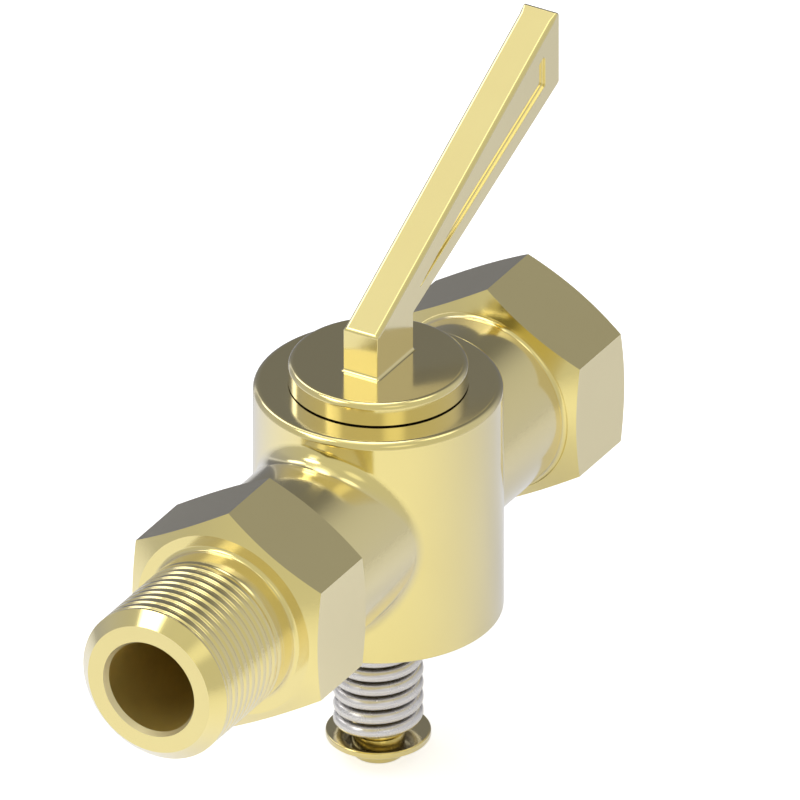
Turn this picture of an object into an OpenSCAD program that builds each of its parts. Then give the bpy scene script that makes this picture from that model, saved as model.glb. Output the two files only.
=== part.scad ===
// Plug shut-off valve for a 3/4 inch pipe: a tapered key with a lever turns in a
// one-piece body, and a spring under the body pulls the key down into its seat.
// X runs along the pipe, from the male end to the female end. Z is the key's axis.
// The origin is where the two axes cross. The lever is drawn open, along the pipe.

/* [Pipe ends] */
// Outside diameter over the crests of the male pipe thread
pipe_d = 26.67; // [24:0.01:29]
// Length of the male end in front of its hexagon
spigot_len = 23.9; // [16:0.1:34]
// Diameter of the flat ring on the male end face
end_ring_d = 22.5; // [19:0.1:23.5]
// Axial length of the chamfer at the male end
end_chamfer = 2.1; // [0.8:0.1:3.5]
// Diameter of the waterway through body and key
bore_d = 15.88; // [11:0.01:16.2]
// Axial length of the flare at the mouth of the waterway
mouth_depth = 1.0; // [0.4:0.1:2]
// Growth in radius of that flare
mouth_flare = 0.5; // [0.2:0.05:1]
// Minor diameter of the female pipe thread
socket_d = 23.7; // [20:0.1:25]
// Depth of the threaded socket
socket_depth = 17.5; // [12:0.1:19]
// Diameter of the countersink at the mouth of the socket
socket_lead_d = 27.2; // [25.5:0.1:29]

/* [Hexagons] */
// Distance from the key's axis to the outer face of each hexagon
hex_reach = 49.7; // [48:0.1:60]
// Width of each hexagon along the pipe
hex_w = 16.5; // [12:0.1:20]
// Size across the flats
hex_af = 34.3; // [33.8:0.1:38]
// Diameter of the turned flat on each hexagon face
hex_face_d = 31.8; // [31.2:0.1:32.4]
// Angle of the turned chamfer on the hexagon's corners
hex_chamfer_deg = 23; // [12:0.5:32]

/* [Barrel] */
// Diameter of the upright barrel
barrel_d = 40.3; // [38:0.1:44]
// Height of the barrel's top above the pipe axis
barrel_top = 20.1; // [19.4:0.1:26]
// Depth of the barrel's foot below the pipe axis
barrel_foot = 20.5; // [19.6:0.1:26]
// Radius of the rounded top rim
rim_r = 1.2; // [0.4:0.1:2]
// Diameter of the two necks between barrel and hexagons
neck_d = 30.4; // [28:0.1:30.8]
// Radius of the rolled blend between neck and barrel
neck_blend_r = 3.0; // [1.5:0.1:4.5]
// Radius where a neck meets its hexagon
neck_fillet_r = 0.5; // [0.2:0.05:1]
// Radius where the male end meets its hexagon
spigot_fillet_r = 0.8; // [0.2:0.05:1.2]

/* [Key and seat] */
// Diameter of the tapered seat at the barrel's top
seat_d = 26.0; // [24.4:0.1:27.5]
// Length over which the seat's diameter shrinks by 1
seat_taper = 10; // [8:0.5:20]
// Radial running clearance between key and seat
key_clearance = 0.04; // [0.02:0.01:0.08]
// Thickness of the barrel's floor under the seat
floor_t = 4.5; // [3:0.1:7]
// Room left under the key for wear
key_wear_gap = 1.0; // [0.5:0.1:2]
// Diameter of the key's cap
cap_d = 29.0; // [28:0.1:34]
// Height of the cap's top above the barrel
cap_h = 4.07; // [2.5:0.01:7]
// Gap between the cap and the barrel's top
cap_gap = 0.25; // [0.2:0.05:0.8]
// Radius of the cap's rounded rim
cap_rim_r = 1.0; // [0.3:0.1:1.8]
// Diameter of the stem below the key
stem_d = 8.5; // [6.5:0.1:9.4]
// Radial clearance of the stem in the floor and in the spring
stem_clearance = 0.35; // [0.3:0.05:0.6]

/* [Lever] */
// Thickness of the lever across the pipe
lever_t = 6.3; // [4:0.1:10]
// Reach of the lever's root behind the key's axis
lever_heel = 5.74; // [4:0.1:9]
// Reach of the lever's root in front of the key's axis
lever_toe = 5.76; // [4:0.1:9]
// Reach of the lever's tip from the key's axis
lever_reach = 52.5; // [35:0.1:80]
// Height of the heel above the cap
heel_h = 7.9; // [5:0.1:12]
// Height of the toe above the cap, where the underside starts to rise
toe_h = 6.8; // [4:0.1:10]
// Height of the tip's upper corner above the cap
tip_h = 39.4; // [28:0.1:50]
// Height of the upright end face
tip_face_h = 13.2; // [8:0.1:16]
// Radius of the lever's outline corners
lever_corner_r = 0.5; // [0.2:0.1:1]
// Radius where the lever meets the cap
lever_root_r = 0.6; // [0.2:0.1:1]
// Depth of the sunk panel in each side of the lever
panel_depth = 0.6; // [0.3:0.1:1.2]
// Margin between the panel and the lever's underside at the toe
panel_low_margin = 2.5; // [1.5:0.1:3]
// Margin between the panel and the lever's underside at the tip
panel_tip_margin = 3.2; // [1.5:0.1:4.5]
// Margin between the panel and the lever's upper edge at the tip
panel_top_margin = 3.4; // [1.5:0.1:4]
// Margin between the panel and the end face
panel_end_margin = 4.3; // [2.5:0.1:7]

/* [Spring and washer] */
// Outside diameter of the spring
spring_d = 14.57; // [13.4:0.01:16]
// Diameter of the spring wire
wire_d = 2.03; // [1.5:0.01:2.1]
// Fitted length of the spring, from barrel to washer
spring_len = 23.3; // [20.5:0.1:30]
// Number of turns of wire
spring_turns = 8.15; // [5:0.05:9]
// Angle at which the wire starts on the washer
spring_start_deg = -60; // [-180:5:180]
// Diameter of the washer
washer_d = 17.0; // [16.6:0.1:22]
// Thickness of the washer
washer_t = 1.13; // [0.8:0.01:2.5]

/* [Retaining screw] */
// Diameter of the screw's shank
screw_d = 4.17; // [3:0.01:4.8]
// Length of the shank under the head
screw_len = 10.0; // [6:0.1:16]
// Diameter of the screw's head
screw_head_d = 8.6; // [6.5:0.1:10]
// Height of the screw's head
screw_head_h = 3.3; // [2.2:0.1:4]
// Width of the driver slot
slot_w = 1.2; // [0.8:0.1:1.6]
// Depth of the driver slot
slot_depth = 1.3; // [0.8:0.1:1.6]
// Turn of the driver slot from the line of the pipe, in degrees
slot_turn = -60; // [-90:5:90]

/* [Hidden] */
$fn = 96;

brass = "#D9C374";
steel = "#B9B6AE";

eps = 0.02;
over = 1;
fillet_steps = 5;
screw_clearance = 0.05;
washer_clearance = 0.15;
wire_seat_gap = 0.03;
blend_sink = 0.05;
blend_depth = 1.5;
blend_steps = 6;
blend_sides = 60;
wire_sides = 10;
wire_steps = 24;
drill_half_deg = 59;
centre_hole_depth = 1.2;

bore_r = bore_d / 2;
crest_r = pipe_d / 2;
neck_r = neck_d / 2;
barrel_r = barrel_d / 2;
hex_r = hex_af / 2 / cos(30);
hex_face_r = hex_face_d / 2;
male_reach = hex_reach + spigot_len;
hex_inner = hex_reach - hex_w;
blend_r = min(neck_blend_r, barrel_top - neck_r - rim_r / 4);

cap_top = barrel_top + cap_h;
cap_bottom = barrel_top + cap_gap;
seat_floor = floor_t - barrel_foot;
key_foot = seat_floor + key_wear_gap;
stem_hole_r = stem_d / 2 + stem_clearance;
washer_top = -barrel_foot - spring_len;
washer_bottom = washer_top - washer_t;

coil_r = (spring_d - wire_d) / 2;
wire_r = wire_d / 2;
wire_bottom = washer_top + wire_r + wire_seat_gap;
wire_top = -barrel_foot - wire_r - wire_seat_gap;

// Radius of the seat's cone at height z
function seat_r(z) = (seat_d - (barrel_top - z) / seat_taper) / 2;

// Points of an arc about [cx, cy], from angle a to angle b
function arc(cx, cy, r, a, b, n = fillet_steps) =
    [for (i = [0:n]) [cx + r * cos(a + (b - a) * i / n), cy + r * sin(a + (b - a) * i / n)]];

// Direction from one point of the plane to another
function toward(p, q) = (q - p) / norm(q - p);

// A convex or concave corner at q between p and s, rounded with radius r
function rounded(p, q, s, r, n = fillet_steps) =
    let (u = toward(q, p), v = toward(q, s))
    let (half = acos(u * v) / 2, back = r / tan(half), mid = (u + v) / norm(u + v))
    let (c = q + mid * r / sin(half), a = q + u * back - c, b = q + v * back - c)
    let (turn = acos(a * b / (r * r)))
    [for (i = [0:n]) c + (sin(turn * (1 - i / n)) * a + sin(turn * i / n) * b) / sin(turn)];

// Turns a shape that stands on Z so that it runs along the pipe
module along_pipe() {
    rotate([0, 90, 0]) children();
}

// Outline of the male end and both necks, as radius against place along the pipe
module pipe_profile() {
    polygon(concat(
        [[0, -male_reach], [end_ring_d / 2, -male_reach], [crest_r, end_chamfer - male_reach]],
        arc(crest_r + spigot_fillet_r, -hex_reach - spigot_fillet_r, spigot_fillet_r, 180, 90),
        [[crest_r + spigot_fillet_r, -hex_reach + over], [neck_r + neck_fillet_r, -hex_inner - over]],
        arc(neck_r + neck_fillet_r, neck_fillet_r - hex_inner, neck_fillet_r, 270, 180),
        arc(neck_r + neck_fillet_r, hex_inner - neck_fillet_r, neck_fillet_r, 180, 90),
        [[neck_r + neck_fillet_r, hex_inner + over], [0, hex_inner + over]]
    ));
}

// Hexagon with its corners turned off on both faces
module pipe_hexagon() {
    reach = hex_r + over;
    setback = (reach - hex_face_r) * tan(hex_chamfer_deg);
    intersection() {
        cylinder(h = hex_w, r = hex_r, $fn = 6);
        rotate_extrude() polygon([
            [0, 0], [hex_face_r, 0], [reach, setback],
            [reach, hex_w - setback], [hex_face_r, hex_w], [0, hex_w]
        ]);
    }
}

module barrel() {
    rotate_extrude() polygon(concat(
        [[0, -barrel_foot], [barrel_r, -barrel_foot]],
        arc(barrel_r - rim_r, barrel_top - rim_r, rim_r, 0, 90),
        [[0, barrel_top]]
    ));
}

// Centre of the ball that rolls in the corner between neck and barrel, at angle a round the pipe
function ball(a) =
    let (out = neck_r + blend_r - blend_sink, y = out * sin(a))
    [sqrt(pow(barrel_r + blend_r - blend_sink, 2) - y * y), y, out * cos(a)];

// One slice of the blend: the ball's arc from neck to barrel, closed inside the metal
function blend_slice(a) =
    let (c = ball(a), out = barrel_r + blend_r - blend_sink)
    let (u = [0, -sin(a), -cos(a)], v = [-c[0] / out, -c[1] / out, 0])
    let (turn = acos(u * v), deep = neck_r - blend_depth, y = deep * sin(a))
    concat(
        [for (i = [0:blend_steps])
            c + blend_r * (sin(turn * (1 - i / blend_steps)) * u + sin(turn * i / blend_steps) * v)
                / sin(turn)],
        [[sqrt(barrel_r * barrel_r - y * y) - blend_depth, y, deep * cos(a)]]
    );

// Rolled blend between the barrel and the neck on the +X side
module neck_blend() {
    n = blend_steps + 2;
    points = [for (k = [0:blend_sides - 1]) each blend_slice(360 * k / blend_sides)];
    faces = [for (k = [0:blend_sides - 1], j = [0:n - 1])
        let (a = k * n + j, b = k * n + (j + 1) % n)
        let (shift = ((k + 1) % blend_sides) * n, d = shift + j, e = shift + (j + 1) % n)
        each [[a, b, e], [a, e, d]]];
    polyhedron(points, faces);
}

module body_solid() {
    barrel();
    along_pipe() rotate_extrude() pipe_profile();
    translate([-hex_reach, 0, 0]) along_pipe() pipe_hexagon();
    translate([hex_inner, 0, 0]) along_pipe() pipe_hexagon();
    neck_blend();
    mirror([1, 0, 0]) neck_blend();
}

// Waterway with its flared mouth, and the socket of the female thread with its drill point
module pipe_bores() {
    point = (socket_d / 2 - bore_r) / tan(drill_half_deg);
    lead = (socket_lead_d - socket_d) / 2;
    bottom = hex_reach - socket_depth;
    along_pipe() {
        translate([0, 0, -male_reach - over]) cylinder(h = male_reach + over + bottom, r = bore_r);
        translate([0, 0, -male_reach]) rotate_extrude() polygon([
            [0, -over], [bore_r + mouth_flare, -over], [bore_r + mouth_flare, 0],
            [bore_r, mouth_depth], [0, mouth_depth]
        ]);
        translate([0, 0, bottom]) rotate_extrude() polygon([
            [0, -point - eps], [bore_r, -point], [socket_d / 2, 0], [socket_d / 2, socket_depth - lead],
            [socket_lead_d / 2, socket_depth], [socket_lead_d / 2, socket_depth + over],
            [0, socket_depth + over]
        ]);
    }
}

// Tapered seat for the key and the hole for its stem
module key_bores() {
    top = barrel_top + over;
    translate([0, 0, seat_floor]) cylinder(h = top - seat_floor, r1 = seat_r(seat_floor), r2 = seat_r(top));
    translate([0, 0, -barrel_foot - over]) cylinder(h = floor_t + 2 * over, r = stem_hole_r);
}

module valve_body() {
    color(brass) difference() {
        body_solid();
        pipe_bores();
        key_bores();
    }
}

// Outline of the key: stem, tapered plug and cap
module key_profile() {
    polygon(concat(
        [[0, washer_top], [stem_d / 2, washer_top], [stem_d / 2, key_foot],
            [seat_r(key_foot) - key_clearance, key_foot],
            [seat_r(cap_bottom) - key_clearance, cap_bottom], [cap_d / 2, cap_bottom]],
        arc(cap_d / 2 - cap_rim_r, cap_top - cap_rim_r, cap_rim_r, 0, 90),
        [[0, cap_top]]
    ));
}

// Corners of the lever seen from the side, as [place along the pipe, height above the cap]
heel = [-lever_heel, 0];
back = [-lever_heel, heel_h];
tip_up = [lever_reach, tip_h];
tip_low = [lever_reach, tip_h - tip_face_h];
arm = [lever_toe, toe_h];
toe = [lever_toe, 0];

// Height of the lever's underside above the cap at place x
function underside(x) = toe_h + (x - lever_toe) * (tip_low[1] - toe_h) / (lever_reach - lever_toe);

// Height of the lever's upper edge above the cap at place x
function upper_edge(x) = heel_h + (x + lever_heel) * (tip_h - heel_h) / (lever_reach + lever_heel);

module lever_outline() {
    polygon(concat(
        [[heel[0], -over]],
        rounded(heel, back, tip_up, lever_corner_r),
        rounded(back, tip_up, tip_low, lever_corner_r),
        rounded(tip_up, tip_low, arm, lever_corner_r),
        rounded(tip_low, arm, toe, lever_corner_r),
        [[toe[0], -over]]
    ));
}

module panel_outline() {
    end = lever_reach - panel_end_margin;
    start = [lever_toe, underside(lever_toe) + panel_low_margin];
    low = [end, underside(end) + panel_tip_margin];
    high = [end, upper_edge(end) - panel_top_margin];
    polygon(concat([start], rounded(start, low, high, lever_corner_r), rounded(low, high, start, lever_corner_r)));
}

// Turns a side view, drawn in X and Y, upright across the pipe
module upright(thickness) {
    rotate([90, 0, 0]) linear_extrude(thickness, center = true) children();
}

module lever() {
    translate([0, 0, cap_top]) {
        difference() {
            upright(lever_t) lever_outline();
            for (side = [-1, 1])
                translate([0, side * lever_t / 2, 0]) upright(2 * panel_depth) panel_outline();
        }
        lever_foot();
    }
}

// Side view of a coved foot of radius lever_root_r under a root that reaches from a to b
module foot_outline(a, b) {
    r = lever_root_r;
    polygon(concat(
        [[b + r, -over], [a - r, -over]],
        arc(a - r, r, r, -90, 0),
        arc(b + r, r, r, 180, 270)
    ));
}

// Coved foot between the lever's root and the cap, mitred at its four corners
module lever_foot() {
    width = lever_heel + lever_toe + lever_t;
    intersection() {
        upright(width) foot_outline(-lever_heel, lever_toe);
        rotate([0, 0, 90]) upright(2 * width) foot_outline(-lever_t / 2, lever_t / 2);
    }
}

module plug_key() {
    tap_r = screw_d / 2 + screw_clearance;
    tap_depth = screw_len - washer_t + centre_hole_depth;
    color(brass) difference() {
        union() {
            rotate_extrude() key_profile();
            lever();
        }
        along_pipe() cylinder(h = seat_d + 2 * over, r = bore_r, center = true);
        translate([0, 0, washer_top - over]) cylinder(h = tap_depth + over, r = tap_r);
    }
}

// One ring of wire at turn t of the coil, counted from the washer
function wire_ring(t) =
    let (rise = wire_top - wire_bottom, a = spring_start_deg + 360 * t)
    let (lead = atan(rise / spring_turns / (2 * PI * coil_r)))
    let (out = [cos(a), sin(a), 0], up = [sin(a) * sin(lead), -cos(a) * sin(lead), cos(lead)])
    [for (k = [0:wire_sides - 1])
        coil_r * out + [0, 0, wire_bottom + rise * t / spring_turns]
            + wire_r * (cos(360 * k / wire_sides) * out + sin(360 * k / wire_sides) * up)];

module spring() {
    n = round(spring_turns * wire_steps);
    points = [for (i = [0:n]) each wire_ring(spring_turns * i / n)];
    sides = [for (i = [0:n - 1], k = [0:wire_sides - 1])
        let (a = i * wire_sides + k, b = i * wire_sides + (k + 1) % wire_sides)
        each [[a, b, b + wire_sides], [a, b + wire_sides, a + wire_sides]]];
    first = [for (k = [0:wire_sides - 1]) wire_sides - 1 - k];
    last = [for (k = [0:wire_sides - 1]) n * wire_sides + k];
    color(steel) polyhedron(points, concat(sides, [first, last]));
}

module spring_washer() {
    edge_r = washer_t * 0.25;
    hole_r = screw_d / 2 + washer_clearance;
    color(brass) translate([0, 0, washer_bottom]) rotate_extrude() polygon(concat(
        [[hole_r, 0]],
        arc(washer_d / 2 - edge_r, edge_r, edge_r, -90, 0),
        arc(washer_d / 2 - edge_r, washer_t - edge_r, edge_r, 0, 90),
        [[hole_r, washer_t]]
    ));
}

// Slotted pan-head screw, pointing up into the stem
module retaining_screw() {
    crown_r = screw_head_h * 0.15;
    chamfer = screw_d * 0.12;
    head_bottom = washer_bottom - screw_head_h;
    shank_top = washer_bottom + screw_len;
    color(brass) difference() {
        rotate_extrude() polygon(concat(
            [[0, head_bottom]],
            arc(screw_head_d / 2 - crown_r, head_bottom + crown_r, crown_r, -90, 0),
            [[screw_head_d / 2, washer_bottom], [screw_d / 2, washer_bottom],
                [screw_d / 2, shank_top - chamfer], [screw_d / 2 - chamfer, shank_top], [0, shank_top]]
        ));
        rotate([0, 0, slot_turn]) translate([-screw_head_d / 2 - over, -slot_w / 2, head_bottom - over])
            cube([screw_head_d + 2 * over, slot_w, slot_depth + over]);
    }
}

valve_body();
plug_key();
spring();
spring_washer();
retaining_screw();
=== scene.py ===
# %% [markdown]
# # A brass plug shut-off valve
# This lesson dresses a valve that was first drawn as plain solids. A lever turns a tapered key
# inside a one-piece brass body, a spring under the body pulls the key down into its seat, and
# both ends carry a 3/4 inch pipe thread. Everything here is written in millimetres and turned
# into metres when a mesh is made, so that each number can be set against a ruler.

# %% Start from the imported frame
import math

import bpy
import numpy as np
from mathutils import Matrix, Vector
from mathutils.geometry import tessellate_polygon


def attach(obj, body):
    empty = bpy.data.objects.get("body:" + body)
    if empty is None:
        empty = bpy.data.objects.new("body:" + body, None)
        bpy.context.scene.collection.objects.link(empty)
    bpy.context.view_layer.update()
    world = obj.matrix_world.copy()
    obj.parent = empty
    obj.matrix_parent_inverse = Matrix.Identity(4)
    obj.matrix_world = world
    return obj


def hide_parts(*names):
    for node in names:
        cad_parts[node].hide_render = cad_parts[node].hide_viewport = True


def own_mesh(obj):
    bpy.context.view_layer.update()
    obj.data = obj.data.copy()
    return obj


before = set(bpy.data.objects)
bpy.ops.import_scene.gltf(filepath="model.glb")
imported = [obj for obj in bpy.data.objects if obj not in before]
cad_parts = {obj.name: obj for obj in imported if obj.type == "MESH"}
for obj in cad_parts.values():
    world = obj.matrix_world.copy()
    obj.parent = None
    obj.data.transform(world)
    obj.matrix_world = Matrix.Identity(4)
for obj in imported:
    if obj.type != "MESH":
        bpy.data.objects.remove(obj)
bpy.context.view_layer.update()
MM = 0.001

# %% [markdown]
# ## The camera
# The valve is seen in a parallel view, 60 degrees round from the pipe and 30 degrees above it.
# In such a view nothing gets smaller with distance, so one scale holds for the whole picture:
# 6.24 pixels to the millimetre. The point that the camera looks at is found from the place of
# the origin in an 800 pixel picture.

# %% Camera
PICTURE = 800
PIXELS_PER_MM = 6.24
ORIGIN_AT = (378.3, 490.7)
AROUND, ABOVE = math.radians(-60), math.radians(30)
CAMERA_AWAY = 0.6

to_camera = Vector((math.sin(AROUND) * math.cos(ABOVE), -math.cos(AROUND) * math.cos(ABOVE), math.sin(ABOVE)))
right = Vector((math.cos(AROUND), math.sin(AROUND), 0))
up = to_camera.cross(right)
aim = (right * (PICTURE / 2 - ORIGIN_AT[0]) + up * (ORIGIN_AT[1] - PICTURE / 2)) * (MM / PIXELS_PER_MM)

camera = bpy.data.objects.new("camera", bpy.data.cameras.new("camera"))
bpy.context.scene.collection.objects.link(camera)
bpy.context.scene.camera = camera
camera.data.type = "ORTHO"
camera.data.ortho_scale = PICTURE / PIXELS_PER_MM * MM
camera.location = aim + to_camera * CAMERA_AWAY
camera.rotation_euler = to_camera.to_track_quat("Z", "Y").to_euler()
print("camera looks along", [round(-c, 3) for c in to_camera])

# %% [markdown]
# ## Sizes
# The sizes repeat those of the solids. Each name says which edge or face it belongs to. Places
# along the pipe are X, heights are Z.

# %% Sizes of the body
BORE_R = 7.94
CREST_R = 13.335
THREAD_PITCH = 1.814
MALE_END, MOUTH_DEPTH, MOUTH_FLARE = -73.6, 1.0, 0.5
END_RING_R, END_CHAMFER = 11.25, 2.1
SOCKET_R, SOCKET_LEAD_R, SOCKET_BOTTOM = 11.85, 13.6, 32.2
HEX_OUTER, HEX_INNER, HEX_FLAT, HEX_FACE_R, HEX_CHAMFER = 49.7, 33.2, 17.15, 15.9, math.radians(23)
SPIGOT_FILLET, NECK_FILLET = 0.8, 0.7
THREAD_STOP, DRILL_HALF_ANGLE = -53.2, math.radians(59)
BARREL_R, BARREL_TOP, BARREL_FOOT, RIM_R, FOOT_EDGE = 20.15, 20.1, -20.5, 1.2, 0.25
NECK_R, BLEND_R = 15.2, 3.0
SEAT_TOP_R, SEAT_TAPER, SEAT_FLOOR, STEM_HOLE_R = 13.0, 10, -16.0, 4.6

# %% Sizes of the key, the spring, the washer and the screw
KEY_GAP, KEY_FOOT, STEM_R, STEM_END, STEM_EDGE = 0.04, -15.0, 4.25, -43.8, 0.2
CAP_R, CAP_BOTTOM, CAP_TOP, CAP_RIM = 14.5, 20.35, 24.17, 1.0
TAP_R, TAP_TOP = 2.135, -33.73
LEVER_T, LEVER_EDGE, TOP_EDGE, LEVER_COVE = 6.3, 0.12, 0.75, 0.6
PANEL_DEPTH = 0.6
WIRE_R, COIL_R, SPRING_TURNS, SPRING_START = 1.015, 6.27, 8.15, math.radians(-25)
WIRE_GAP = 0.03
WIRE_BOTTOM, WIRE_TOP = STEM_END + WIRE_R + WIRE_GAP, BARREL_FOOT - WIRE_R - WIRE_GAP
WASHER_R, WASHER_HOLE_R, WASHER_T, WASHER_EDGE = 8.5, 2.235, 1.13, 0.28
SCREW_R, SCREW_LEN, HEAD_R, HEAD_H = 2.085, 10.0, 4.3, 3.3
SLOT_W, SLOT_DEPTH, SLOT_TURN = 1.2, 1.3, math.radians(-60)
HEAD_SEAT = STEM_END - WASHER_T


def seat_radius(z):
    """Radius of the tapered seat at height z: its diameter shrinks by 1 over each SEAT_TAPER."""
    return SEAT_TOP_R - (BARREL_TOP - z) / (2 * SEAT_TAPER)


print(f"the seat is {2 * seat_radius(BARREL_TOP):.2f} mm wide at its top")
print(f"and {2 * seat_radius(SEAT_FLOOR):.2f} mm at its floor")

# %% [markdown]
# ## A mesh sewn from patches
# Turned brass is smooth, and a mirror finish shows every fault in a surface's normals. So the
# shapes are not modelled with bevels. Each face of the real part, a cone, a cylinder or a
# rolled fillet, is a small grid of points whose exact normals are known. The class below keeps
# the grids, turns each little face outwards, sews equal points together and gives every
# corner its exact normal. A sharp edge needs no marking: its two patches bring two normals.
# Each patch also notes which of its piece's materials it takes: 0 is the polished outside.

# %% Class that sews patches
SEW, SEW_SHIFT = 1e-4, 0.317
POLISHED, BORED, PALE_REFLECTION, PAINTED_SHADE = 0, 1, 2, 2


class Skin:
    """Patches of points with their normals, sewn into one closed mesh."""

    def __init__(self, name):
        self.name = name
        self.corners, self.normals, self.finishes = [], [], []
        self.finish = POLISHED

    def keep(self, corners, normals):
        """Adds four-sided faces, each turned so that it looks the way its normals do."""
        way = np.cross(corners[:, 2] - corners[:, 0], corners[:, 3] - corners[:, 1])
        wrong = (way * normals.sum(axis=1)).sum(axis=1) < 0
        corners[wrong], normals[wrong] = corners[wrong][:, ::-1], normals[wrong][:, ::-1]
        self.corners.append(corners)
        self.normals.append(normals)
        self.finishes += [self.finish] * len(corners)

    def patch(self, points, normals):
        """A grid of points, rows by columns, with a normal at each."""
        points = np.asarray(points, float)
        normals = np.broadcast_to(np.asarray(normals, float), points.shape)
        self.keep(*(np.stack([g[:-1, :-1], g[1:, :-1], g[1:, 1:], g[:-1, 1:]], axis=2).reshape(-1, 4, 3)
                    for g in (points, normals)))

    def flat(self, loops, normal):
        """A flat face inside the first loop, with the other loops as holes."""
        points = np.concatenate([np.asarray(loop, float) for loop in loops])
        found = tessellate_polygon([[Vector(p) for p in loop] for loop in loops])
        corners = points[np.array([(a, b, c, c) for a, b, c in found])]
        way = np.cross(corners[:, 1] - corners[:, 0], corners[:, 2] - corners[:, 0])
        wrong = way @ np.asarray(normal, float) < 0
        corners[wrong] = corners[wrong][:, [0, 2, 1, 1]]
        self.corners.append(corners)
        self.normals.append(np.broadcast_to(np.asarray(normal, float), corners.shape).copy())
        self.finishes += [self.finish] * len(corners)

    def sew(self, *materials):
        """Joins equal points and returns the piece. The shift keeps points off the rounding step."""
        corners, normals = np.concatenate(self.corners), np.concatenate(self.normals)
        places = np.round(corners.reshape(-1, 3) / SEW + SEW_SHIFT).astype(np.int64)
        _, first, index = np.unique(places, axis=0, return_index=True, return_inverse=True)
        points, index = corners.reshape(-1, 3)[first], index.reshape(-1, 4)
        faces, loops, finishes = [], [], []
        for face, normal, finish in zip(index.tolist(), normals, self.finishes):
            kept = [k for k in range(4) if face[k] != face[k - 1]]
            if len({face[k] for k in kept}) > 2:
                faces.append([face[k] for k in kept])
                loops.extend(normal[kept])
                finishes.append(finish)
        mesh = bpy.data.meshes.new(self.name)
        mesh.from_pydata((points * MM).tolist(), [], faces)
        mesh.polygons.foreach_set("use_smooth", np.ones(len(faces), dtype=bool))
        loops = np.array(loops)
        mesh.normals_split_custom_set((loops / np.linalg.norm(loops, axis=1)[:, None]).tolist())
        for material in materials:
            mesh.materials.append(material)
        mesh.polygons.foreach_set("material_index", finishes)
        piece = bpy.data.objects.new(self.name, mesh)
        bpy.context.scene.collection.objects.link(piece)
        uses = {}
        for face in faces:
            for a, b in zip(face, face[1:] + face[:1]):
                uses[a, b] = uses.get((a, b), 0) + 1
        open_edges = sum(1 for a, b in uses if uses.get((b, a), 0) != uses[a, b])
        print(f"{self.name}: {len(faces)} faces, {open_edges} open edges")
        return piece


# %% [markdown]
# ## Turned profiles
# Most of the valve is lathe work: a profile turned about the pipe or about the key. A profile
# is written as runs of place and radius. Walking along it, the metal is always on the right
# hand, so a run's normal is its left side. A clockwise arc is a rounded edge and an
# anticlockwise arc is a hollow fillet.

# %% Runs of a profile, turned about the pipe or the key
SIDES = 240
TOP_STEPS, SIDE_STEPS = 36, 24
AROUND_PIPE = np.linspace(0, 2 * np.pi, SIDES + 1)
AROUND_KEY = np.linspace(0, 2 * np.pi, 4 * TOP_STEPS + 1)
PIPE_DIRECTIONS = np.stack([0 * AROUND_PIPE, np.sin(AROUND_PIPE), np.cos(AROUND_PIPE)], axis=1)
KEY_DIRECTIONS = np.stack([np.cos(AROUND_KEY), np.sin(AROUND_KEY), 0 * AROUND_KEY], axis=1)
PIPE_AXIS, KEY_AXIS = np.array([1.0, 0, 0]), np.array([0, 0, 1.0])


def straight(start, stop):
    """A straight run, with its normal on the left of the walk."""
    way = np.subtract(stop, start) / np.linalg.norm(np.subtract(stop, start))
    return np.array([[*start, -way[1], way[0]], [*stop, -way[1], way[0]]])


def path(*points):
    """Straight runs from each point to the next."""
    return [straight(a, b) for a, b in zip(points, points[1:])]


def bow(centre, radius, start, stop, steps=10):
    """An arc run between two angles: falling ones round an edge, rising ones fill a corner."""
    angles = np.radians(np.linspace(start, stop, steps + 1))
    out = np.stack([np.cos(angles), np.sin(angles)], axis=1)
    return np.hstack([np.asarray(centre) + radius * out, out if start > stop else -out])


def turn(skin, runs, about_key=False):
    """Turns runs of place and radius about the pipe's axis or the key's."""
    axis, directions = (KEY_AXIS, KEY_DIRECTIONS) if about_key else (PIPE_AXIS, PIPE_DIRECTIONS)
    for run in runs:
        place, radius, along, outward = (column[:, None, None] for column in run.T)
        skin.patch(place * axis + radius * directions, along * axis + outward * directions)


print(f"pipe surfaces have {SIDES} sides, key surfaces {4 * TOP_STEPS}")

# %% [markdown]
# ## A round wall with a hole in each side
# The barrel, the seat and the key are upright round walls, and the waterway pierces each on
# both sides. A wall like that is laid out as two picture frames, one for each side: straight
# lines run from the rim of the hole to a rectangle, in terms of angle and height, so every
# point stays exactly on the wall.

# %% Pierced walls and cross bores
FRAME_STEPS = 12


def pierced_wall(skin, radius_at, low, high, holes, inwards=False):
    """An upright wall of radius radius_at(z) between two heights, pierced on both sides.
    holes gives the angle and height of the hole's rim, for each direction around the pipe."""
    quarter = TOP_STEPS + SIDE_STEPS
    knots = [0, TOP_STEPS, quarter, 2 * quarter - TOP_STEPS, 2 * quarter]
    knots += [4 * quarter - k for k in knots[-2::-1]]
    half = np.pi / 2
    angles = np.interp(np.arange(SIDES + 1), knots, [0, half, half, half, 0, -half, -half, -half, 0])
    heights = np.interp(np.arange(SIDES + 1), knots, [high, high, 0, low, low, low, 0, high, high])
    t = np.linspace(0, 1, FRAME_STEPS + 1)[:, None]
    angle, height = ((1 - t) * hole + t * edge for hole, edge in zip(holes, (angles, heights)))
    radius = radius_at(height)
    slope = (radius_at(high) - radius_at(low)) / (high - low)
    for side in (1, -1):
        out = np.stack([side * np.cos(angle), np.sin(angle), 0 * angle], axis=2)
        normal = out - slope * KEY_AXIS
        skin.patch(radius[..., None] * out + height[..., None] * KEY_AXIS, -normal if inwards else normal)


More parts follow.
